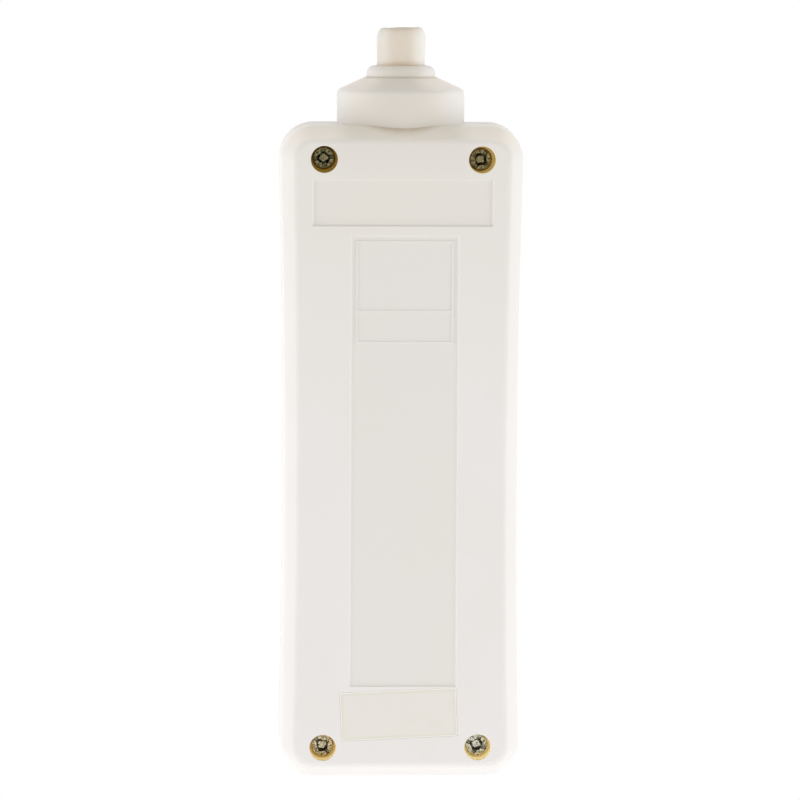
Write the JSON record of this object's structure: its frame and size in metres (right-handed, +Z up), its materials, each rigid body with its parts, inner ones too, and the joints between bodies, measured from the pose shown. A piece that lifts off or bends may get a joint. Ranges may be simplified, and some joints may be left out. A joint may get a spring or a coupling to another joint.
{
  "type": "multi socket adapter",
  "caption": "Rewireable in-line block of earthed round sockets with sprung shutters, a flat screwed underside cover and a stepped cable neck with a soft sleeve.",
  "frame": {"origin": "on the underside plane, below the middle of the whole length, neck and sleeve included", "axes": "+X along the block to the cable neck, +Y across it, +Z up out of the sockets"},
  "size_m": [0.1753, 0.0566, 0.04],
  "materials": {
    "case_plastic": "fine satin moulding, white",
    "carrier_plastic": "plain moulding, off-white",
    "shutter_plastic": "smooth low-friction moulding",
    "sleeve_rubber": "soft cream, satin",
    "contact_brass": "rolled strip",
    "terminal_brass": "machined",
    "pin_nickel": "nickel plate",
    "plated_steel": "dull zinc plate",
    "spring_steel": "drawn wire",
    "label_paper": "bare off-white paper"
  },
  "bodies": {
    "case": {"rear_cover": "case_plastic", "socket_housing": "case_plastic", "contact_carrier": "carrier_plastic", "line_bar": "contact_brass", "neutral_bar": "contact_brass", "earth_bar": "contact_brass", "line_terminal": "terminal_brass", "neutral_terminal": "terminal_brass", "earth_terminal": "terminal_brass", "terminal_screws": "plated_steel", "cord_clamp": "carrier_plastic", "clamp_screws": "plated_steel", "carrier_screws": "plated_steel", "case_screws": "plated_steel", "cord_sleeve": "sleeve_rubber", "rating_label": "label_paper", "earth_pin_1": "pin_nickel", "shutter_spring_1": "spring_steel", "earth_pin_2": "pin_nickel", "shutter_spring_2": "spring_steel", "earth_pin_3": "pin_nickel", "shutter_spring_3": "spring_steel"},
    "shutter_1": {"shutter_1": "shutter_plastic"},
    "shutter_2": {"shutter_2": "shutter_plastic"},
    "shutter_3": {"shutter_3": "shutter_plastic"}
  },
  "joints": [
    {"name": "shutter_1_slide", "type": "slide", "parent": "case", "child": "shutter_1", "axis": [-1, 0, 0], "range_m": [0, 0.0062], "stiffness_N_per_m": 60, "springref_m": -0.005, "deforming": ["shutter_spring_1"]},
    {"name": "shutter_2_slide", "type": "slide", "parent": "case", "child": "shutter_2", "axis": [-1, 0, 0], "range_m": [0, 0.0062], "stiffness_N_per_m": 60, "springref_m": -0.005, "deforming": ["shutter_spring_2"]},
    {"name": "shutter_3_slide", "type": "slide", "parent": "case", "child": "shutter_3", "axis": [-1, 0, 0], "range_m": [0, 0.0062], "stiffness_N_per_m": 60, "springref_m": -0.005, "deforming": ["shutter_spring_3"]}
  ]
}
